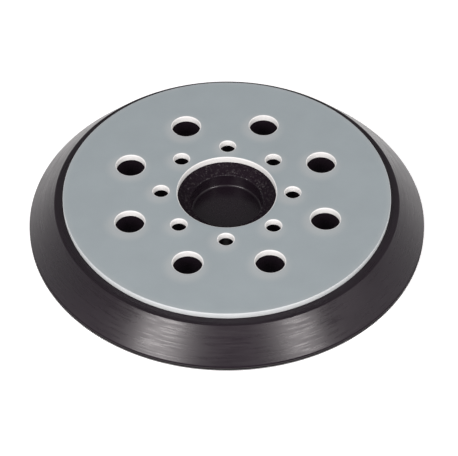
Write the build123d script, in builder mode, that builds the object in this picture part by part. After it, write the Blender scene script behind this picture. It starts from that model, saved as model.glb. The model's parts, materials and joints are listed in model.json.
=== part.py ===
from build123d import *
import os

# Backing pad of a 125 mm random orbital sander, lying on its hook face with the tool side up.
# Millimetres. z = 0 is the bench, touched by the hook tips, and +Z runs up the pad's axis to the sander.
# From the bench up: a sheet of hooks, the film that bonds it, a moulded foam body with a bevelled rim,
# and a stiff backing plate. Eight dust passages run through all four, and eight screw holes in the
# plate open into wells in the foam.

# Overall size
pad_diameter = 124.0
pad_height = 13.0

# Backing plate
plate_diameter = 102.0
plate_thickness = 2.1
plate_edge_round = 0.25
hole_edge_chamfer = 0.3
hub_opening_diameter = 30.8

# Ring of dust passages, which lines up with the holes of an eight-hole abrasive disc
dust_circle_diameter = 65.0
dust_hole_diameter = 9.1
dust_passage_diameter = 10.2
dust_start_angle = 24.5

# Ring of screw holes, which lines up with the sander's hub
screw_circle_diameter = 41.0
screw_hole_diameter = 4.9
screw_well_diameter = 8.4
screw_start_angle = 0.0

holes_per_ring = 8

# Hook sheet and the film that bonds it to the foam
hook_sheet_diameter = 124.0
hook_sheet_thickness = 1.25
bond_film_thickness = 0.15

# Foam body
ledge_diameter = 107.4
rim_lip_height = 0.5
ledge_corner_round = 0.6
lip_corner_round = 0.25
recess_diameter = 22.6
recess_floor_height = 4.5
recess_floor_round = 0.8
recess_mouth_height = 9.0
shoulder_bulge = 0.35

# Heights that follow from the stack
foam_bottom = hook_sheet_thickness + bond_film_thickness
foam_top = pad_height - plate_thickness
lip_top = foam_bottom + rim_lip_height


def ring_of_circles(circle_diameter, hole_diameter, start_angle):
    """Adds one circle for each hole of a ring to the sketch being drawn."""
    with PolarLocations(circle_diameter / 2, holes_per_ring, start_angle=start_angle):
        Circle(hole_diameter / 2)


def passages_and_wells():
    """Adds the dust passages and the screw wells to the sketch being drawn."""
    ring_of_circles(dust_circle_diameter, dust_passage_diameter, dust_start_angle)
    ring_of_circles(screw_circle_diameter, screw_well_diameter, screw_start_angle)


def circles_of(part, diameter):
    """Picks the circular edges of one diameter."""
    circles = part.edges().filter_by(GeomType.CIRCLE)
    return circles.filter_by(lambda edge: abs(2 * edge.radius - diameter) < 0.01)


# Stiff plate that the sander's hub bears on
with BuildPart() as backing_plate:
    with BuildSketch(Plane.XY.offset(foam_top)):
        Circle(plate_diameter / 2)
        Circle(hub_opening_diameter / 2, mode=Mode.SUBTRACT)
    extrude(amount=plate_thickness)
    fillet(circles_of(backing_plate, plate_diameter), plate_edge_round)
    with BuildSketch(Plane.XY.offset(foam_top)):
        ring_of_circles(dust_circle_diameter, dust_hole_diameter, dust_start_angle)
        ring_of_circles(screw_circle_diameter, screw_hole_diameter, screw_start_angle)
    extrude(amount=plate_thickness, mode=Mode.SUBTRACT)
    top_face = backing_plate.faces().filter_by(GeomType.PLANE).sort_by(Axis.Z)[-1]
    chamfer(top_face.inner_wires().edges(), hole_edge_chamfer)
backing_plate.part.label = "backing_plate"

# Moulded foam between the plate and the hook sheet, with a blind recess under the hub opening
with BuildPart() as foam_body:
    with BuildSketch(Plane.XZ):
        with BuildLine():
            rim = Polyline(
                (0, recess_floor_height),
                (0, foam_bottom),
                (pad_diameter / 2, foam_bottom),
                (pad_diameter / 2, lip_top),
                (ledge_diameter / 2, foam_top),
                (hub_opening_diameter / 2, foam_top),
            )
            shoulder = SagittaArc(
                rim @ 1,
                (recess_diameter / 2, recess_mouth_height),
                shoulder_bulge,
            )
            Polyline(
                shoulder @ 1,
                (recess_diameter / 2, recess_floor_height),
                (0, recess_floor_height),
            )
        make_face()
    revolve(axis=Axis.Z)
    fillet(circles_of(foam_body, ledge_diameter), ledge_corner_round)
    fillet(circles_of(foam_body, pad_diameter).sort_by(Axis.Z)[-1], lip_corner_round)
    fillet(circles_of(foam_body, recess_diameter).sort_by(Axis.Z)[0], recess_floor_round)
    with BuildSketch(Plane.XY.offset(foam_bottom)):
        passages_and_wells()
    extrude(amount=foam_top - foam_bottom, mode=Mode.SUBTRACT)
foam_body.part.label = "foam_body"

# Film that bonds the hook sheet to the foam
with BuildPart() as bond_film:
    with BuildSketch(Plane.XY.offset(hook_sheet_thickness)):
        Circle(hook_sheet_diameter / 2)
    extrude(amount=bond_film_thickness)
    with BuildSketch(Plane.XY.offset(hook_sheet_thickness)):
        passages_and_wells()
    extrude(amount=bond_film_thickness, mode=Mode.SUBTRACT)
bond_film.part.label = "bond_film"

# Sheet of hooks that grips the abrasive disc, its cloth and its hooks taken as one thickness
with BuildPart() as hook_sheet:
    with BuildSketch(Plane.XY):
        Circle(hook_sheet_diameter / 2)
    extrude(amount=hook_sheet_thickness)
    with BuildSketch(Plane.XY):
        passages_and_wells()
    extrude(amount=hook_sheet_thickness, mode=Mode.SUBTRACT)
hook_sheet.part.label = "hook_sheet"

os.makedirs("parts", exist_ok=True)
export_step(backing_plate.part, "parts/backing_plate.step")
export_step(foam_body.part, "parts/foam_body.step")
export_step(bond_film.part, "parts/bond_film.step")
export_step(hook_sheet.part, "parts/hook_sheet.step")
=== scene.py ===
import json
import math

import bmesh
import bpy
from mathutils import Matrix, Vector, noise


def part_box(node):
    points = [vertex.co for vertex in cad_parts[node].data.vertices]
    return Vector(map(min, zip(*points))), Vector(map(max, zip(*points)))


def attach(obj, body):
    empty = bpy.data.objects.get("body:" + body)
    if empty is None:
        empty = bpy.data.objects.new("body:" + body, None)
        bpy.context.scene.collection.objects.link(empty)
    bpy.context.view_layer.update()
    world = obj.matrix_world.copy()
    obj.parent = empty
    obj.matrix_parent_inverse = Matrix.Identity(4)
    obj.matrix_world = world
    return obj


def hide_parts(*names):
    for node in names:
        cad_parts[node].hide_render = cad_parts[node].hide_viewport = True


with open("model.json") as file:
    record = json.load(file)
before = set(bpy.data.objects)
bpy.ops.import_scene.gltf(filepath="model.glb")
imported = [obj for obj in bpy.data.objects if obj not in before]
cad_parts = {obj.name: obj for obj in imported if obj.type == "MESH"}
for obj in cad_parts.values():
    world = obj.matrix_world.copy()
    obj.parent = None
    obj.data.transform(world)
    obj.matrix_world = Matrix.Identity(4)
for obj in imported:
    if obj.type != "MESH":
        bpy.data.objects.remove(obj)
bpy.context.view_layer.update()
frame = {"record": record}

bl_info = {
    "name": "Sander backing pad",
    "version": (1, 0, 0),
    "blender": (4, 5, 0),
    "location": "3D View > Sidebar > Backing Pad",
    "description": "Builds the backing pad of a random orbital sander on its measured frame",
    "category": "Add Mesh",
}

# The pad lies on its hooks with z = 0 at the bench and +Z up its axis. Everything is in metres.

MM = 0.001
HOLES_PER_RING = 8
HOLE_PITCH = math.tau / HOLES_PER_RING
LEVEL_SLACK = 1e-7
SHARP_ANGLE = math.radians(35)

MOUNTS = {mount["name"]: mount["dims"] for mount in frame["record"]["mounts"]}


def top_of(node):
    """Height of the top of a frame node."""
    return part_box(node)[1][2]


def bottom_of(node):
    """Height of the bottom of a frame node."""
    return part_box(node)[0][2]


def radius_of(node):
    """Outer radius of a round frame node."""
    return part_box(node)[1][0]


def length_property(name, description, default):
    """A size that a user may change, in metres."""
    return bpy.props.FloatProperty(
        name=name, description=description, default=default, min=0.0, unit="LENGTH", subtype="DISTANCE", precision=5
    )


def angle_property(name, description, degrees):
    """An angle that a user may change, given in degrees."""
    return bpy.props.FloatProperty(
        name=name, description=description, default=math.radians(degrees), unit="ROTATION", subtype="ANGLE"
    )


def colour_property(name, description, default):
    """A finish colour that a user may change."""
    return bpy.props.FloatVectorProperty(
        name=name, description=description, default=default, size=3, min=0.0, max=1.0, subtype="COLOR"
    )


class PadSizes(bpy.types.PropertyGroup):
    """Sizes of the pad's pieces."""

    plate_radius: length_property("Plate radius", "Outer radius of the plate", radius_of("backing_plate"))
    plate_edge: length_property("Plate edge", "Rounding of the plate's outer edges", 0.25 * MM)
    hole_edge: length_property("Hole edge", "Rounding of the upper edge of the plate's holes", 0.3 * MM)
    hub_opening: length_property("Hub opening", "Radius of the plate's opening", MOUNTS["hub_opening"]["r_mm"] * MM)
    dust_circle: length_property("Dust circle", "Radius of the ring of dust holes", MOUNTS["dust_holes"]["pcd_mm"] / 2 * MM)
    dust_hole: length_property("Dust hole", "Radius of the plate's dust holes", MOUNTS["dust_holes"]["hole_r_mm"] * MM)
    dust_passage: length_property("Dust passage", "Radius of the passages below the plate", 5.1 * MM)
    screw_circle: length_property("Screw circle", "Radius of the ring of screws", MOUNTS["hub_screw_holes"]["pcd_mm"] / 2 * MM)
    screw_hole: length_property("Screw hole", "Radius of the plate's screw holes", MOUNTS["hub_screw_holes"]["hole_r_mm"] * MM)
    screw_well: length_property("Screw well", "Radius of the wells below the plate", 4.2 * MM)
    ledge_radius: length_property("Ledge radius", "Outer radius of the ledge round the plate", 53.7 * MM)
    ledge_round: length_property("Ledge rounding", "Rounding of the ledge's outer corner", 0.6 * MM)
    lip_height: length_property("Lip height", "Height of the foam's upright rim", 0.5 * MM)
    lip_round: length_property("Lip rounding", "Rounding of the rim's upper corner", 0.25 * MM)
    recess_radius: length_property("Recess radius", "Radius of the smooth cup", MOUNTS["hub_recess"]["r_mm"] * MM)
    recess_mouth: length_property("Recess mouth", "Height of the cup's mouth", 9.0 * MM)
    recess_floor: length_property("Recess floor", "Height of the cup's floor", 4.5 * MM)
    recess_round: length_property("Recess rounding", "Rounding of the corner between wall and floor", 0.8 * MM)
    torn_depth: length_property("Torn depth", "How far the torn shoulder is ragged", 0.34 * MM)
    cloth_thickness: length_property("Cloth thickness", "Thickness of the cloth that carries the hooks", 0.8 * MM)
    hook_pitch: length_property("Hook pitch", "Distance from one hook to the next", 1.15 * MM)
    hook_wire: length_property("Hook wire", "Radius of a hook's filament", 0.08 * MM)
    hook_curl: length_property("Hook curl", "Radius of a hook's curl", 0.13 * MM)
    dust_start: angle_property("Dust start", "Angle of the first dust hole, counted from a screw hole", 24.5)


class PadColours(bpy.types.PropertyGroup):
    """Colours of the pad's finishes, linear."""

    plate: colour_property("Plate", "Blue-grey plastic of the plate", (0.268, 0.308, 0.325))
    plate_halo: colour_property("Plate halo", "Plate close to an edge, where light comes through", (0.47, 0.465, 0.46))
    # painted light: the plate's edges are painted near white where light comes through the plastic
    painted_edge_glow: colour_property("Painted edge glow", "Plate edges painted near white where light comes through", (0.72, 0.72, 0.71))
    skin: colour_property("Skin", "Smooth moulded skin of the foam", (0.0086, 0.0050, 0.0085))
    torn: colour_property("Torn foam", "Open cells of the torn foam", (0.105, 0.098, 0.098))
    film: colour_property("Bond film", "Film that bonds the hook sheet", (0.022, 0.020, 0.020))
    cloth: colour_property("Cloth", "Cloth that carries the hooks", (0.011, 0.010, 0.011))
    hooks: colour_property("Hooks", "Filament of the hooks", (0.012, 0.011, 0.012))
    floor: colour_property("Floor", "Studio floor", (0.90, 0.90, 0.90))


# ---------------------------------------------------------------- outlines


def rounded(corners, steps=5):
    """Points of an outline whose corners, each (across, up, radius), are rounded by their radius."""
    points = []
    last = len(corners) - 1
    for index, (across, up, radius) in enumerate(corners):
        corner = Vector((across, up))
        if radius == 0.0 or index in (0, last):
            points.append(corner)
            continue
        towards_last = (Vector(corners[index - 1][:2]) - corner).normalized()
        towards_next = (Vector(corners[index + 1][:2]) - corner).normalized()
        half = towards_last.angle(towards_next) / 2
        centre = corner + (towards_last + towards_next).normalized() * (radius / math.sin(half))
        start = corner + towards_last * (radius / math.tan(half)) - centre
        end = corner + towards_next * (radius / math.tan(half)) - centre
        for step in range(steps + 1):
            share = step / steps
            points.append(centre + radius * start.slerp(end, share))
    return points


def along(first, second, rows):
    """Evenly spaced points from one point towards another, without the last."""
    return [first.lerp(second, row / rows) for row in range(rows)]


# ---------------------------------------------------------------- bmesh shapes


def turned(outline, sides):
    """Turns an outline of (radius, height) points a full turn about the upright axis, in a bmesh of its own."""
    bm = bmesh.new()
    verts = [bm.verts.new((point.x, 0.0, point.y)) for point in outline]
    edges = [bm.edges.new(pair) for pair in zip(verts, verts[1:])]
    bmesh.ops.spin(
        bm,
        geom=verts + edges,
        cent=(0.0, 0.0, 0.0),
        axis=(0.0, 0.0, 1.0),
        angle=math.tau,
        steps=sides,
        use_merge=True,
    )
    return bm


def move_into(bm, parts):
    """Adds other bmeshes to one, and frees them."""
    for part in parts:
        mesh = bpy.data.meshes.new("part")
        part.to_mesh(mesh)
        part.free()
        bm.from_mesh(mesh)
        bpy.data.meshes.remove(mesh)


def copies(part, places):
    """One copy of a bmesh at each place on the pad, as bmeshes of their own."""
    made = []
    for place in places:
        copy = part.copy()
        bmesh.ops.translate(copy, verts=copy.verts, vec=(place.x, place.y, 0.0))
        made.append(copy)
    part.free()
    return made


def fill_level(bm, height):
    """Closes the flat face at one height, between all the open loops that lie there."""
    loops = [
        edge
        for edge in bm.edges
        if edge.is_boundary and all(abs(vert.co.z - height) < LEVEL_SLACK for vert in edge.verts)
    ]
    return bmesh.ops.triangle_fill(bm, edges=loops, use_beauty=True, normal=(0.0, 0.0, 1.0))


def ring(radius, start):
    """Centres of the holes of one ring."""
    return [
        Vector((radius * math.cos(start + index * HOLE_PITCH), radius * math.sin(start + index * HOLE_PITCH)))
        for index in range(HOLES_PER_RING)
    ]


def finish_mesh(bm, name, materials, node):
    """Turns a bmesh into a piece that rides on the pad in place of a frame node."""
    bmesh.ops.remove_doubles(bm, verts=bm.verts, dist=1e-7)
    bmesh.ops.recalc_face_normals(bm, faces=bm.faces)
    for face in bm.faces:
        face.smooth = True
    for edge in bm.edges:
        edge.smooth = not edge.is_manifold or edge.calc_face_angle() < SHARP_ANGLE
    mesh = bpy.data.meshes.new(name)
    bm.to_mesh(mesh)
    bm.free()
    piece = bpy.data.objects.new(name, mesh)
    bpy.context.scene.collection.objects.link(piece)
    for material in materials:
        mesh.materials.append(material)
    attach(piece, "root")
    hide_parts(node)
    return piece


def punched_disc(radius, low, high, edge, holes, hole_edge, hold):
    """A disc with rounded rims and rounded hole edges. holes is a list of (radius, sides, centres)."""
    rim = rounded(
        [(radius - edge - hold, low, 0.0), (radius, low, edge), (radius, high, edge), (radius - edge - hold, high, 0.0)]
    )
    parts = [turned(rim, 360)]
    for hole, sides, centres in holes:
        wall = rounded(
            [
                (hole + hole_edge + hold, high, 0.0),
                (hole, high, hole_edge),
                (hole, low, min(hole_edge, 0.05 * MM)),
                (hole + hole_edge + hold, low, 0.0),
            ]
        )
        parts += copies(turned(wall, sides), centres)
    bm = bmesh.new()
    move_into(bm, parts)
    bmesh.ops.remove_doubles(bm, verts=bm.verts, dist=1e-7)
    fill_level(bm, low)
    fill_level(bm, high)
    return bm


# ---------------------------------------------------------------- finishes


def new_finish(name):
    """A material with an empty Principled shader, and its node tree."""
    material = bpy.data.materials.new(name)
    material.use_nodes = True
    tree = material.node_tree
    shader = next(node for node in tree.nodes if node.type == "BSDF_PRINCIPLED")
    return material, tree, shader


def plug(tree, value, socket):
    """Links a socket, or sets a plain value."""
    if isinstance(value, bpy.types.NodeSocket):
        tree.links.new(value, socket)
    else:
        socket.default_value = value


def calc(tree, operation, *values, clamp=False):
    """One Math node."""
    step = tree.nodes.new("ShaderNodeMath")
    step.operation = operation
    step.use_clamp = clamp
    for value, socket in zip(values, step.inputs):
        plug(tree, value, socket)
    return step.outputs[0]


def fade(tree, value, start, end, low=0.0, high=1.0):
    """Goes smoothly from low to high as value goes from start to end."""
    step = tree.nodes.new("ShaderNodeMapRange")
    step.interpolation_type = "SMOOTHSTEP"
    for socket, number in zip(step.inputs, (value, start, end, low, high)):
        plug(tree, number, socket)
    return step.outputs[0]


def blend(tree, share, first, second):
    """Mixes two colours."""
    step = tree.nodes.new("ShaderNodeMix")
    step.data_type = "RGBA"
    colour_inputs = [socket for socket in step.inputs if socket.type == "RGBA"]
    plug(tree, share, step.inputs[0])
    plug(tree, first if isinstance(first, bpy.types.NodeSocket) else (*first, 1.0), colour_inputs[0])
    plug(tree, second if isinstance(second, bpy.types.NodeSocket) else (*second, 1.0), colour_inputs[1])
    return next(socket for socket in step.outputs if socket.type == "RGBA")


def shade(tree, colour, share):
    """Multiplies a colour by a grey share."""
    step = tree.nodes.new("ShaderNodeVectorMath")
    step.operation = "SCALE"
    plug(tree, colour if isinstance(colour, bpy.types.NodeSocket) else tuple(colour), step.inputs[0])
    plug(tree, share, step.inputs["Scale"])
    return step.outputs[0]


def pack_vector(tree, x, y, z):
    """Combines three numbers."""
    step = tree.nodes.new("ShaderNodeCombineXYZ")
    for value, socket in zip((x, y, z), step.inputs):
        plug(tree, value, socket)
    return step.outputs[0]


def grain(tree, vector, scale, detail=3.0, roughness=0.5):
    """Noise at a scale per metre of its vector."""
    step = tree.nodes.new("ShaderNodeTexNoise")
    plug(tree, vector, step.inputs["Vector"])
    step.inputs["Scale"].default_value = scale
    step.inputs["Detail"].default_value = detail
    step.inputs["Roughness"].default_value = roughness
    return step.outputs[0]


def cells(tree, vector, scale):
    """Distance to the nearest point of a cell pattern."""
    step = tree.nodes.new("ShaderNodeTexVoronoi")
    plug(tree, vector, step.inputs["Vector"])
    step.inputs["Scale"].default_value = scale
    return step.outputs["Distance"]


def relief(tree, shader, height, distance, strength=1.0):
    """Bumps the shader's surface by a height pattern."""
    step = tree.nodes.new("ShaderNodeBump")
    step.inputs["Strength"].default_value = strength
    step.inputs["Distance"].default_value = distance
    plug(tree, height, step.inputs["Height"])
    tree.links.new(step.outputs[0], shader.inputs["Normal"])


def pad_place(tree, shift=(0.0, 0.0, 0.0)):
    """Object coordinates, and the radius, angle and height of a point on the pad, in millimetres and radians."""
    place = tree.nodes.new("ShaderNodeTexCoord").outputs["Object"]
    if any(shift):
        moved = tree.nodes.new("ShaderNodeVectorMath")
        moved.operation = "ADD"
        tree.links.new(place, moved.inputs[0])
        moved.inputs[1].default_value = shift
        place = moved.outputs[0]
    split = tree.nodes.new("ShaderNodeSeparateXYZ")
    tree.links.new(place, split.inputs[0])
    x, y, z = (calc(tree, "MULTIPLY", socket, 1 / MM) for socket in split.outputs)
    radius = calc(tree, "SQRT", calc(tree, "ADD", calc(tree, "MULTIPLY", x, x), calc(tree, "MULTIPLY", y, y)))
    return place, radius, calc(tree, "ARCTAN2", y, x), z


def past_ring_holes(tree, radius, angle, circle, hole, start):
    """Millimetres from a point to the wall of the nearest hole of a ring."""
    turned = calc(tree, "SUBTRACT", angle, start)
    wrapped = calc(tree, "WRAP", turned, HOLE_PITCH / 2, -HOLE_PITCH / 2)
    out = calc(tree, "SUBTRACT", calc(tree, "MULTIPLY", radius, calc(tree, "COSINE", wrapped)), circle / MM)
    side = calc(tree, "MULTIPLY", radius, calc(tree, "SINE", wrapped))
    away = calc(tree, "SQRT", calc(tree, "ADD", calc(tree, "MULTIPLY", out, out), calc(tree, "MULTIPLY", side, side)))
    return calc(tree, "SUBTRACT", away, hole / MM)


def plate_finish(sizes, colours):
    """Satin blue-grey plastic, paler near every edge, where light comes through it."""
    material, tree, shader = new_finish("plate_plastic")
    place, radius, angle, height = pad_place(tree)
    from_dust = past_ring_holes(tree, radius, angle, sizes.dust_circle, sizes.dust_hole, sizes.dust_start)
    from_screws = past_ring_holes(tree, radius, angle, sizes.screw_circle, sizes.screw_hole, 0.0)
    from_hub = calc(tree, "SUBTRACT", radius, sizes.hub_opening / MM)
    from_rim = calc(tree, "SUBTRACT", sizes.plate_radius / MM, radius)
    from_hole = calc(tree, "MINIMUM", calc(tree, "MINIMUM", from_dust, from_screws), from_hub)
    cloud = grain(tree, place, 90.0, 4.0, 0.55)
    speck = grain(tree, place, 2600.0, 2.0, 0.6)
    glow_radius, glow_angle = pad_place(tree, (0.6 * MM, 1.3 * MM, 0.0))[1:3]
    glow = calc(
        tree,
        "MINIMUM",
        past_ring_holes(tree, glow_radius, glow_angle, sizes.dust_circle, sizes.dust_hole, sizes.dust_start),
        past_ring_holes(tree, glow_radius, glow_angle, sizes.screw_circle, sizes.screw_hole, 0.0),
    )
    ragged = calc(tree, "ADD", glow, calc(tree, "MULTIPLY", calc(tree, "SUBTRACT", cloud, 0.5), 3.0))
    halo = calc(
        tree,
        "MAXIMUM",
        fade(tree, ragged, -0.4, 3.4, 0.30, 0.0),
        fade(tree, from_rim, 0.0, 2.2, 0.12, 0.0),
    )
    # Painted light: a near-white band on the hole walls and their rounding, and a fainter one at the rim, where light
    # comes through the plastic's edges.
    cut = calc(
        tree,
        "MAXIMUM",
        fade(tree, from_hole, 0.14, 0.36, 1.0, 0.0),
        fade(tree, from_rim, 0.05, 0.25, 0.36, 0.0),
    )
    tone = calc(
        tree,
        "ADD",
        fade(tree, cloud, 0.25, 0.75, 0.965, 1.02),
        calc(tree, "MULTIPLY", calc(tree, "SUBTRACT", speck, 0.5), 0.06),
    )
    plain = blend(tree, halo, colours.plate, colours.plate_halo)
    tree.links.new(shade(tree, blend(tree, cut, plain, colours.painted_edge_glow), tone), shader.inputs["Base Color"])
    tree.links.new(fade(tree, cloud, 0.3, 0.7, 0.40, 0.46), shader.inputs["Roughness"])
    shader.inputs["IOR"].default_value = 1.5
    relief(tree, shader, speck, 0.012 * MM, 0.6)
    return material


def foam_finish(sizes, colours):
    """Smooth moulded skin, with fine rings drawn round it, torn to open cells at the recess and in the passages."""
    material, tree, shader = new_finish("moulded_foam")
    place, radius, angle, height = pad_place(tree)
    turn = calc(tree, "MULTIPLY", calc(tree, "ABSOLUTE", angle), 7.0)
    rings = grain(
        tree,
        pack_vector(tree, calc(tree, "MULTIPLY", radius, 1.5), calc(tree, "MULTIPLY", height, 1.5), turn),
        1.0,
        3.0,
        0.6,
    )
    cloud = grain(tree, place, 60.0, 4.0, 0.6)
    pores = cells(tree, place, 2100.0)
    torn_grain = grain(tree, place, 1300.0, 4.0, 0.8)
    grooves = grain(
        tree,
        pack_vector(tree, calc(tree, "MULTIPLY", radius, 1.6), calc(tree, "MULTIPLY", height, 1.6), turn),
        1.0,
        4.0,
        0.7,
    )
    inner = sizes.recess_radius / MM
    opening = sizes.hub_opening / MM
    shoulder = calc(
        tree,
        "MULTIPLY",
        fade(tree, radius, inner - 0.1, inner + 0.35),
        fade(tree, radius, opening + 0.2, opening + 0.6, 1.0, 0.0),
    )
    walls = calc(
        tree,
        "MULTIPLY",
        fade(tree, radius, opening + 0.6, opening + 1.2),
        fade(tree, radius, 38.5, 39.5, 1.0, 0.0),
    )
    torn = calc(tree, "MAXIMUM", shoulder, walls)
    lip = fade(tree, height, bottom_of("foam_body") / MM + 0.4, bottom_of("foam_body") / MM + 0.8, 1.0, 0.0)
    ridges = calc(tree, "MULTIPLY", fade(tree, torn_grain, 0.52, 0.72), fade(tree, grooves, 0.4, 0.62, 0.25, 1.0))
    specks = calc(tree, "MULTIPLY", ridges, shoulder)
    skin = shade(tree, colours.skin, fade(tree, cloud, 0.2, 0.8, 0.85, 1.2))
    colour = blend(tree, specks, skin, colours.torn)
    tree.links.new(colour, shader.inputs["Base Color"])
    skin_gloss = calc(
        tree,
        "ADD",
        fade(tree, cloud, 0.25, 0.75, 0.27, 0.34),
        calc(tree, "MULTIPLY", calc(tree, "SUBTRACT", rings, 0.5), 0.34),
    )
    gloss = calc(tree, "MAXIMUM", skin_gloss, calc(tree, "MULTIPLY", calc(tree, "MAXIMUM", torn, lip), 0.8))
    tree.links.new(gloss, shader.inputs["Roughness"])
    dull = calc(tree, "MAXIMUM", calc(tree, "MULTIPLY", torn, 0.8), lip)
    tree.links.new(fade(tree, dull, 0.0, 1.0, 0.5, 0.06), shader.inputs["Specular IOR Level"])
    shader.inputs["IOR"].default_value = 1.40
    bumps = calc(
        tree,
        "ADD",
        calc(tree, "MULTIPLY", rings, 0.22),
        calc(tree, "MULTIPLY", calc(tree, "ADD", calc(tree, "MULTIPLY", pores, 0.9), grooves), torn),
    )
    relief(tree, shader, bumps, 0.2 * MM, 0.7)
    return material


def film_finish(colours):
    """Thin bonding film with a slightly wavy, waxy surface."""
    material, tree, shader = new_finish("bonding_film")
    place, radius, angle, height = pad_place(tree)
    cloud = grain(tree, place, 220.0, 4.0, 0.6)
    tree.links.new(shade(tree, colours.film, fade(tree, cloud, 0.25, 0.75, 0.8, 1.15)), shader.inputs["Base Color"])
    tree.links.new(fade(tree, cloud, 0.3, 0.7, 0.45, 0.6), shader.inputs["Roughness"])
    relief(tree, shader, cloud, 0.03 * MM, 0.5)
    return material


def cloth_finish(colours):
    """Close plain weave of the cloth that carries the hooks."""
    material, tree, shader = new_finish("hook_cloth")
    place, radius, angle, height = pad_place(tree)
    threads = []
    for direction in ("X", "Y"):
        wave = tree.nodes.new("ShaderNodeTexWave")
        wave.bands_direction = direction
        wave.wave_profile = "SIN"
        tree.links.new(place, wave.inputs["Vector"])
        wave.inputs["Scale"].default_value = 620.0
        wave.inputs["Distortion"].default_value = 0.6
        wave.inputs["Detail Scale"].default_value = 2.0
        threads.append(wave.outputs["Fac"])
    weave = calc(tree, "MAXIMUM", *threads)
    fuzz = grain(tree, place, 1500.0, 3.0, 0.6)
    tone = calc(tree, "ADD", fade(tree, weave, 0.0, 1.0, 0.55, 1.25), calc(tree, "MULTIPLY", fuzz, 0.3))
    tree.links.new(shade(tree, colours.cloth, tone), shader.inputs["Base Color"])
    tree.links.new(fade(tree, fuzz, 0.2, 0.8, 0.75, 0.95), shader.inputs["Roughness"])
    shader.inputs["Specular IOR Level"].default_value = 0.05
    relief(tree, shader, weave, 0.09 * MM, 0.8)
    return material


def hook_finish(colours):
    """Smooth dark filament of the hooks."""
    material, tree, shader = new_finish("hook_filament")
    place, radius, angle, height = pad_place(tree)
    streaks = grain(tree, place, 1200.0, 2.0, 0.5)
    tree.links.new(shade(tree, colours.hooks, fade(tree, streaks, 0.3, 0.7, 0.75, 1.3)), shader.inputs["Base Color"])
    tree.links.new(fade(tree, streaks, 0.3, 0.7, 0.5, 0.62), shader.inputs["Roughness"])
    shader.inputs["Specular IOR Level"].default_value = 0.05
    return material


# ---------------------------------------------------------------- operators


class PAD_OT_plate(bpy.types.Operator):
    """Builds the stiff plate with its opening, dust holes and screw holes"""

    bl_idname = "backing_pad.plate"
    bl_label = "Backing Plate"

    def execute(self, context):
        sizes = context.scene.pad_sizes
        holes = [
            (sizes.hub_opening, 240, [Vector((0.0, 0.0))]),
            (sizes.dust_hole, 96, ring(sizes.dust_circle, sizes.dust_start)),
            (sizes.screw_hole, 64, ring(sizes.screw_circle, 0.0)),
        ]
        bm = punched_disc(
            sizes.plate_radius,
            bottom_of("backing_plate"),
            top_of("backing_plate"),
            sizes.plate_edge,
            holes,
            sizes.hole_edge,
            0.15 * MM,
        )
        finish = plate_finish(sizes, context.scene.pad_colours)
        finish_mesh(bm, "plate", [finish], "backing_plate")
        return {"FINISHED"}


class PAD_OT_foam(bpy.types.Operator):
    """Builds the moulded foam body with its bevelled rim, torn shoulder, cup, passages and wells"""

    bl_idname = "backing_pad.foam"
    bl_label = "Foam Body"

    def execute(self, context):
        sizes = context.scene.pad_sizes
        low = bottom_of("foam_body")
        high = top_of("foam_body")
        rim = radius_of("foam_body")
        hold = 0.15 * MM
        outside = rounded(
            [
                (rim - 0.6 * MM, low, 0.0),
                (rim, low, 0.1 * MM),
                (rim, low + sizes.lip_height, sizes.lip_round),
                (sizes.ledge_radius, high, sizes.ledge_round),
                (sizes.ledge_radius - 1.2 * MM, high, 0.0),
            ],
            steps=6,
        )
        recess = [Vector((sizes.hub_opening + hold, high))]
        recess += along(Vector((sizes.hub_opening, high)), Vector((sizes.recess_radius, sizes.recess_mouth)), 22)
        recess += along(
            Vector((sizes.recess_radius, sizes.recess_mouth)),
            Vector((sizes.recess_radius, sizes.recess_floor + sizes.recess_round)),
            14,
        )
        recess += rounded(
            [
                (sizes.recess_radius, sizes.recess_floor + sizes.recess_round * 1.001, 0.0),
                (sizes.recess_radius, sizes.recess_floor, sizes.recess_round),
                (sizes.recess_radius - 2.5 * MM, sizes.recess_floor, 0.0),
            ],
            steps=8,
        )
        cup = turned(recess, 360)
        tear_shoulder(cup.verts, sizes, high)
        parts = [turned(outside, 360), cup]
        for radius, sides, centres in sheet_holes(sizes):
            wall = [Vector((radius + hold, high))]
            wall += along(Vector((radius, high)), Vector((radius, low)), 16)
            wall += [Vector((radius, low)), Vector((radius + hold, low))]
            for centre, passage in zip(centres, copies(turned(wall, sides), centres)):
                roughen_wall(passage.verts, centre, radius, low, high)
                parts.append(passage)
        bm = bmesh.new()
        move_into(bm, parts)
        bmesh.ops.remove_doubles(bm, verts=bm.verts, dist=1e-7)
        for level in (low, high, sizes.recess_floor):
            fill_level(bm, level)
        finish = foam_finish(sizes, context.scene.pad_colours)
        foam = finish_mesh(bm, "foam", [finish], "foam_body")
        return {"FINISHED"}


def tear_shoulder(verts, sizes, high):
    """Makes the shoulder between the plate's opening and the cup ragged, fading out at both of its edges."""
    width = sizes.hub_opening - sizes.recess_radius
    for vert in verts:
        radius = vert.co.xy.length
        share = (sizes.hub_opening - radius) / width
        if share <= 0.02 or vert.co.z < sizes.recess_mouth - 1.2 * MM or vert.co.z > high - 1e-6:
            continue
        share = min(share, 1.0)
        below_mouth = max(0.0, sizes.recess_mouth - vert.co.z) / (1.2 * MM)
        amount = min(1.0, share * 3.0) * (1.0 - below_mouth)
        coarse = noise.fractal(vert.co * 420.0, 1.0, 2.0, 4)
        fine = noise.fractal(vert.co * 1500.0 + Vector((7.0, 3.0, 1.0)), 0.9, 2.0, 3)
        ridge = noise.noise(Vector((radius * 2200.0, vert.co.z * 1300.0, 2.2 * abs(math.atan2(vert.co.y, vert.co.x)))))
        lift = (0.7 * coarse + 0.35 * fine + 0.5 * ridge) * amount * sizes.torn_depth
        inward = -Vector((vert.co.x, vert.co.y, 0.0)).normalized()
        vert.co += (inward * 0.7 + Vector((0.0, 0.0, 0.7))) * lift
        vert.co.z = min(vert.co.z, high - 0.02 * MM)


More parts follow.
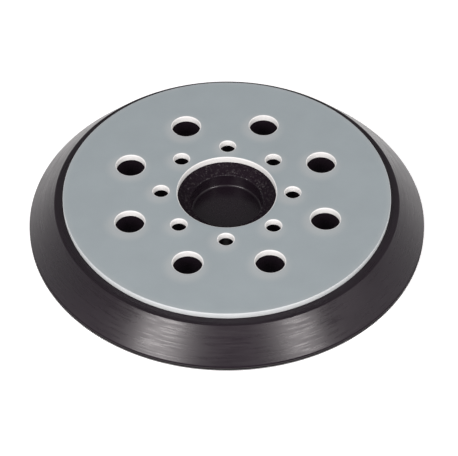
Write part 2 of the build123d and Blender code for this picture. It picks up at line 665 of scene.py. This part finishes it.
def roughen_wall(verts, centre, radius, low, high):
    """Gives the cut wall of a passage the slight unevenness of cut foam."""
    for vert in verts:
        from_ends = min(vert.co.z - low, high - vert.co.z)
        if from_ends < 0.1 * MM:
            continue
        outward = (vert.co.xy - centre).normalized()
        shift = noise.fractal(vert.co * 1100.0, 1.0, 2.0, 3) * 0.10 * MM * min(1.0, from_ends / (1.0 * MM))
        vert.co.xy = centre + outward * (radius + abs(shift))


class PAD_OT_film(bpy.types.Operator):
    """Builds the film that bonds the hook sheet to the foam"""

    bl_idname = "backing_pad.film"
    bl_label = "Bond Film"

    def execute(self, context):
        sizes = context.scene.pad_sizes
        bm = punched_disc(
            radius_of("bond_film"),
            bottom_of("bond_film"),
            top_of("bond_film"),
            0.04 * MM,
            sheet_holes(sizes),
            0.02 * MM,
            0.1 * MM,
        )
        finish_mesh(bm, "film", [film_finish(context.scene.pad_colours)], "bond_film")
        return {"FINISHED"}


def sheet_holes(sizes):
    """Radius, sides and centres of the holes below the plate."""
    return [
        (sizes.dust_passage, 96, ring(sizes.dust_circle, sizes.dust_start)),
        (sizes.screw_well, 72, ring(sizes.screw_circle, 0.0)),
    ]


def one_hook(sizes, root, tip):
    """Mesh of one hook, hanging down from the cloth at the origin's axis and curling towards +X."""
    bm = bmesh.new()
    wire = sizes.hook_wire
    curl = sizes.hook_curl
    turn_height = tip + wire + curl
    made = bmesh.ops.create_circle(bm, cap_ends=False, segments=4, radius=wire, matrix=Matrix.Translation((0, 0, root)))
    loop = list({edge for vert in made["verts"] for edge in vert.link_edges})
    stem = bmesh.ops.extrude_edge_only(bm, edges=loop)["geom"]
    stem_verts = [item for item in stem if isinstance(item, bmesh.types.BMVert)]
    bmesh.ops.translate(bm, verts=stem_verts, vec=(0.0, 0.0, turn_height - root))
    end = [item for item in stem if not isinstance(item, bmesh.types.BMFace)]
    curled = bmesh.ops.spin(
        bm, geom=end, cent=(curl, 0.0, turn_height), axis=(0.0, 1.0, 0.0), angle=math.radians(-205), steps=4
    )["geom_last"]
    rim = [item for item in curled if isinstance(item, bmesh.types.BMEdge)]
    bmesh.ops.edgeloop_fill(bm, edges=rim)
    bmesh.ops.recalc_face_normals(bm, faces=bm.faces)
    mesh = bpy.data.meshes.new("one_hook")
    bm.to_mesh(mesh)
    bm.free()
    return mesh


class PAD_OT_hooks(bpy.types.Operator):
    """Builds the cloth and the field of hooks below it"""

    bl_idname = "backing_pad.hooks"
    bl_label = "Hook Sheet"

    def execute(self, context):
        sizes = context.scene.pad_sizes
        colours = context.scene.pad_colours
        radius = radius_of("hook_sheet")
        high = top_of("hook_sheet")
        cloth_low = high - sizes.cloth_thickness
        holes = sheet_holes(sizes)
        bm = punched_disc(radius, cloth_low, high, 0.1 * MM, holes, 0.05 * MM, 0.1 * MM)
        cloth = finish_mesh(bm, "cloth", [cloth_finish(colours)], "hook_sheet")
        finish = hook_finish(colours)

        hook = one_hook(sizes, cloth_low + 0.05 * MM, bottom_of("hook_sheet"))
        for name, side in (("hooks_front", -1), ("hooks_back", 1)):
            bm = bmesh.new()
            move_into(bm, hook_rows(hook, sizes, radius, holes, side))
            finish_hooks(bm, name, finish)
        bm = bmesh.new()
        move_into(bm, rim_rows(hook, sizes, radius))
        finish_hooks(bm, "hooks_rim", finish)
        bpy.data.meshes.remove(hook)
        return {"FINISHED"}


def hook_rows(hook, sizes, radius, holes, side):
    """Rows of hooks on the front or the back half of the sheet, each row a bmesh, staggered and facing in turn."""
    pitch = sizes.hook_pitch
    reach = sizes.hook_curl + sizes.hook_wire
    count = int(radius / pitch) + 1
    made = []
    for row in range(0 if side > 0 else 1, count + 1):
        line = side * row
        facing = math.pi if line % 2 else 0.0
        strip = bmesh.new()
        for column in range(-count, count + 1):
            drift = noise.noise(Vector((line * 0.73, column * 0.61, 4.0)))
            across = (column + (0.5 if line % 2 else 0.0) + 0.12 * drift) * pitch
            middle = Vector((across, (line + 0.08 * drift) * pitch))
            if middle.length > radius - reach - 1.0 * MM:
                continue
            if any((middle - centre).length < hole + reach for hole, _, centres in holes for centre in centres):
                continue
            turn = facing + 0.35 * noise.noise(Vector((column * 0.9, line * 0.8, 9.0)))
            move = (
                Matrix.Translation((middle.x, middle.y, 0.0))
                @ Matrix.Rotation(turn, 4, "Z")
                @ Matrix.Translation((-sizes.hook_curl, 0.0, 0.0))
            )
            hook.transform(move)
            strip.from_mesh(hook)
            hook.transform(move.inverted())
        made.append(strip)
    return made


def rim_rows(hook, sizes, radius):
    """Three close rows of hooks round the very edge, where the sheet's weave is bound, facing along the edge."""
    made = []
    for row in range(3):
        circle = radius - sizes.hook_wire * 1.3 - row * 0.36 * MM
        strip = bmesh.new()
        count = round(math.tau * circle / (0.62 * MM))
        for place in range(count):
            angle = math.tau * (place + 0.33 * row) / count
            facing = angle + math.radians(90.0 if (place + row) % 2 else -90.0)
            move = (
                Matrix.Translation((circle * math.cos(angle), circle * math.sin(angle), 0.0))
                @ Matrix.Rotation(facing, 4, "Z")
                @ Matrix.Translation((-sizes.hook_curl, 0.0, 0.0))
            )
            hook.transform(move)
            strip.from_mesh(hook)
            hook.transform(move.inverted())
        made.append(strip)
    return made


def finish_hooks(bm, name, material):
    """Turns a field of hooks into one piece."""
    for face in bm.faces:
        face.smooth = True
    mesh = bpy.data.meshes.new(name)
    bm.to_mesh(mesh)
    bm.free()
    mesh.materials.append(material)
    hooks = bpy.data.objects.new(name, mesh)
    bpy.context.scene.collection.objects.link(hooks)
    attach(hooks, "root")
    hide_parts("hook_sheet")
    return hooks


class PAD_OT_stage(bpy.types.Operator):
    """Lays the floor and sets the lights and the camera"""

    bl_idname = "backing_pad.stage"
    bl_label = "Stage"

    def execute(self, context):
        stage = context.scene.pad_stage
        lay_floor(context.scene.pad_colours.floor)
        set_world(stage)
        add_softbox("left_softbox", stage.left_azimuth, stage.left_width, stage.softbox_radiance, stage)
        add_softbox("right_softbox", stage.right_azimuth, stage.right_width, stage.softbox_radiance, stage)
        add_softbox("left_fill", stage.left_fill_azimuth, stage.fill_width, stage.fill_radiance, stage)
        add_softbox("right_fill", stage.right_fill_azimuth, stage.fill_width, stage.fill_radiance, stage)
        add_softbox("side_light", stage.side_azimuth, stage.fill_width, stage.fill_radiance * 0.6, stage)
        add_camera(stage)
        bpy.context.scene.view_settings.view_transform = "Standard"
        return {"FINISHED"}


class PadStage(bpy.types.PropertyGroup):
    """Light and camera."""

    left_azimuth: angle_property("Left softbox", "Bearing of the left softbox", -126.5)
    right_azimuth: angle_property("Right softbox", "Bearing of the right softbox", -48.0)
    left_fill_azimuth: angle_property("Left fill", "Bearing of the weaker light inside the left softbox", -114.0)
    right_fill_azimuth: angle_property("Right fill", "Bearing of the weaker light inside the right softbox", -58.0)
    side_azimuth: angle_property("Side light", "Bearing of the weak light on the far right", -14.0)
    softbox_elevation: angle_property("Light elevation", "Height angle of all four lights", 34.0)
    softbox_distance: length_property("Light distance", "From the pad to each light", 1.2)
    left_width: length_property("Left width", "Width of the left softbox", 0.34)
    right_width: length_property("Right width", "Width of the right softbox", 0.22)
    fill_width: length_property("Fill width", "Width of each weaker light", 0.32)
    softbox_height: length_property("Light height", "Height of all four lights", 0.5)
    softbox_radiance: bpy.props.FloatProperty(
        name="Softbox brightness", description="Watts per square metre of a softbox", default=60.0
    )
    fill_radiance: bpy.props.FloatProperty(
        name="Fill brightness", description="Watts per square metre of a weaker light", default=7.5
    )
    room_light: bpy.props.FloatProperty(name="Room light", description="Strength of the room's light", default=1.0)
    camera_distance: length_property("Camera distance", "From the pad's foot to the camera", 0.6539)
    camera_elevation: angle_property("Camera elevation", "Height angle of the camera", 45.61)
    camera_azimuth: angle_property("Camera azimuth", "Bearing of the camera", -89.2)
    lens: bpy.props.FloatProperty(
        name="Lens", description="Focal length in millimetres", default=162.9, unit="CAMERA"
    )


def bearing(azimuth, elevation, distance):
    """Point at a bearing and a height angle from the origin."""
    return distance * Vector(
        (math.cos(azimuth) * math.cos(elevation), math.sin(azimuth) * math.cos(elevation), math.sin(elevation))
    )


def aim(thing, target):
    """Turns a light or a camera to look at a point."""
    thing.rotation_euler = (target - thing.location).to_track_quat("-Z", "Y").to_euler()


def lay_floor(colour):
    """Wide plain floor at z = 0."""
    bm = bmesh.new()
    bmesh.ops.create_grid(bm, x_segments=1, y_segments=1, size=6.0)
    mesh = bpy.data.meshes.new("floor")
    bm.to_mesh(mesh)
    bm.free()
    floor = bpy.data.objects.new("floor", mesh)
    bpy.context.scene.collection.objects.link(floor)
    material, tree, shader = new_finish("floor_paper")
    shader.inputs["Base Color"].default_value = (*colour, 1.0)
    shader.inputs["Roughness"].default_value = 0.9
    shader.inputs["Specular IOR Level"].default_value = 0.0
    shader.inputs["Emission Color"].default_value = (1.0, 1.0, 1.0, 1.0)
    shader.inputs["Emission Strength"].default_value = 0.45
    mesh.materials.append(material)


def set_world(stage):
    """White light from all round, dimmer overhead than at the horizon."""
    world = bpy.data.worlds.new("studio")
    world.use_nodes = True
    background = next(node for node in world.node_tree.nodes if node.type == "BACKGROUND")
    background.inputs["Color"].default_value = (1.0, 1.0, 1.0, 1.0)
    tree = world.node_tree
    split = tree.nodes.new("ShaderNodeSeparateXYZ")
    tree.links.new(tree.nodes.new("ShaderNodeTexCoord").outputs["Generated"], split.inputs[0])
    strength = fade(tree, split.outputs["Z"], 0.1, 0.6, stage.room_light, stage.room_light * 0.36)
    tree.links.new(strength, background.inputs["Strength"])
    bpy.context.scene.world = world


def add_softbox(name, azimuth, width, radiance, stage):
    """One soft rectangular light, aimed at the pad."""
    light = bpy.data.lights.new(name, "AREA")
    light.shape = "RECTANGLE"
    light.size = width
    light.size_y = stage.softbox_height
    light.energy = radiance * width * stage.softbox_height
    light.color = (1.0, 0.95, 0.95)
    lamp = bpy.data.objects.new(name, light)
    lamp.location = bearing(azimuth, stage.softbox_elevation, stage.softbox_distance)
    aim(lamp, Vector((0.0, 0.0, 0.0)))
    bpy.context.scene.collection.objects.link(lamp)


def add_camera(stage):
    """Camera in front of the pad and above it."""
    camera = bpy.data.cameras.new("camera")
    camera.lens = stage.lens
    camera.shift_x = 0.0047
    camera.shift_y = -0.0155
    holder = bpy.data.objects.new("camera", camera)
    holder.location = bearing(stage.camera_azimuth, stage.camera_elevation, stage.camera_distance)
    aim(holder, Vector((0.0, 0.0, 0.0)))
    bpy.context.scene.collection.objects.link(holder)
    bpy.context.scene.camera = holder


class PAD_PT_sidebar(bpy.types.Panel):
    """Lists the pad's pieces, sizes and colours"""

    bl_label = "Backing Pad"
    bl_idname = "PAD_PT_sidebar"
    bl_space_type = "VIEW_3D"
    bl_region_type = "UI"
    bl_category = "Backing Pad"

    def draw(self, context):
        column = self.layout.column()
        for operator in OPERATORS:
            column.operator(operator.bl_idname)
        for group in (context.scene.pad_sizes, context.scene.pad_colours, context.scene.pad_stage):
            box = self.layout.box()
            for name in group.bl_rna.properties.keys():
                if name not in ("rna_type", "name"):
                    box.prop(group, name)


OPERATORS = (PAD_OT_plate, PAD_OT_foam, PAD_OT_film, PAD_OT_hooks, PAD_OT_stage)
GROUPS = {"pad_sizes": PadSizes, "pad_colours": PadColours, "pad_stage": PadStage}


def register():
    for cls in (*GROUPS.values(), *OPERATORS, PAD_PT_sidebar):
        bpy.utils.register_class(cls)
    for name, group in GROUPS.items():
        setattr(bpy.types.Scene, name, bpy.props.PointerProperty(type=group))


def unregister():
    for name in GROUPS:
        delattr(bpy.types.Scene, name)
    for cls in (PAD_PT_sidebar, *OPERATORS, *GROUPS.values()):
        bpy.utils.unregister_class(cls)


def main():
    register()
    bpy.ops.backing_pad.plate()
    bpy.ops.backing_pad.foam()
    bpy.ops.backing_pad.film()
    bpy.ops.backing_pad.hooks()
    bpy.ops.backing_pad.stage()


if __name__ == "__main__":
    main()
